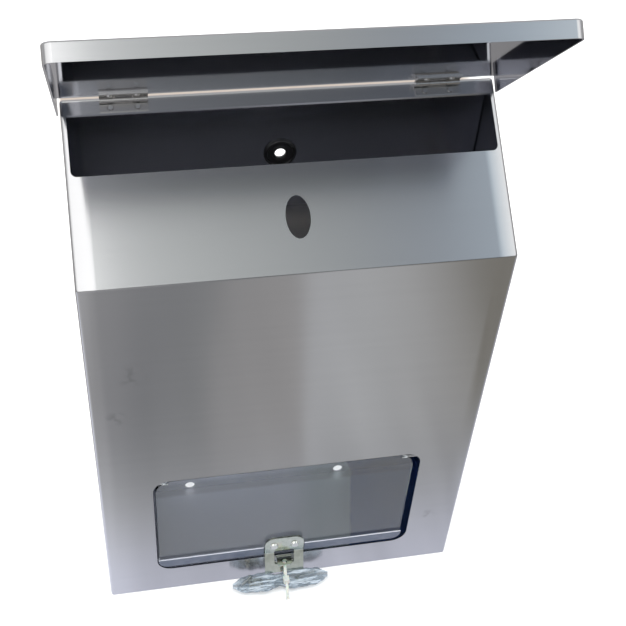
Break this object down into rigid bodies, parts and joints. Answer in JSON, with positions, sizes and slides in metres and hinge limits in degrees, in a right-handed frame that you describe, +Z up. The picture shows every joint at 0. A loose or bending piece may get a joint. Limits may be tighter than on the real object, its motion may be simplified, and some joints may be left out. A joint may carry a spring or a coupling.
{
  "type": "wall-hung drop fare box",
  "caption": "Wall-hung stainless drop fare box: sloped top with coin hole and mouth, hinged tray lid, clear bottom-front door with slotted padlock tab.",
  "frame": {"origin": "bottom centre of the back panel's wall face", "axes": "+X to the right of someone facing the box, front along -Y, +Y out of the wall face into the wall, +Z up"},
  "size_m": [0.3048, 0.1348, 0.5428],
  "materials": {
    "steel": "horizontal brushed grain, rounded folds",
    "steel_inner": "smooth mill finish",
    "grey_trim": "slate grey glossy extrusion with a lighter top edge",
    "floor_film": "smooth sheet, partly under a bluish film",
    "hinge_steel": "satin pressed leaf",
    "pin_steel": "bright drawn wire",
    "rivet_steel": "satin",
    "zinc": "bright zinc plating with a greenish cast",
    "zinc_rivet": "bright zinc plating",
    "black_rubber": "matt black moulded rubber",
    "clear_pane": "clear polycarbonate, polished",
    "white_nylon": "translucent white nylon",
    "clear_film": "thin wrinkled clear film bag"
  },
  "bodies": {
    "housing": {"front_panel": "steel", "slope_panel": "steel", "back_panel": "steel", "side_wall_left": "steel", "side_wall_right": "steel", "floor_panel": "floor_film", "baffle_plate": "steel_inner", "wall_grommet": "black_rubber", "hinge_body_leaf_left": "hinge_steel", "hinge_body_leaf_right": "hinge_steel", "hinge_pin_left": "pin_steel", "hinge_pin_right": "pin_steel", "body_leaf_rivets": "rivet_steel", "pivot_block_left": "zinc", "pivot_block_right": "zinc", "lock_tongue": "zinc", "lock_tongue_rivets": "zinc_rivet"},
    "lid": {"lid": "steel", "hinge_lid_leaf_left": "hinge_steel", "hinge_lid_leaf_right": "hinge_steel", "lid_leaf_rivets": "rivet_steel"},
    "window_door": {"window_pane": "clear_pane", "window_bottom_rail": "grey_trim", "window_pivot_pins": "pin_steel", "lock_tab": "zinc", "lock_tab_rivets": "zinc_rivet", "cable_tie": "white_nylon", "spares_bag": "clear_film"}
  },
  "joints": [
    {"name": "lid_hinge", "type": "hinge", "parent": "housing", "child": "lid", "pos_m": [0, -0.006, 0.43667], "axis": [-1, 0, 0], "range_deg": [-81.5, 45]},
    {"name": "window_hinge", "type": "hinge", "parent": "housing", "child": "window_door", "pos_m": [0, -0.1028, 0.145], "axis": [-1, 0, 0], "range_deg": [0, 80]}
  ]
}
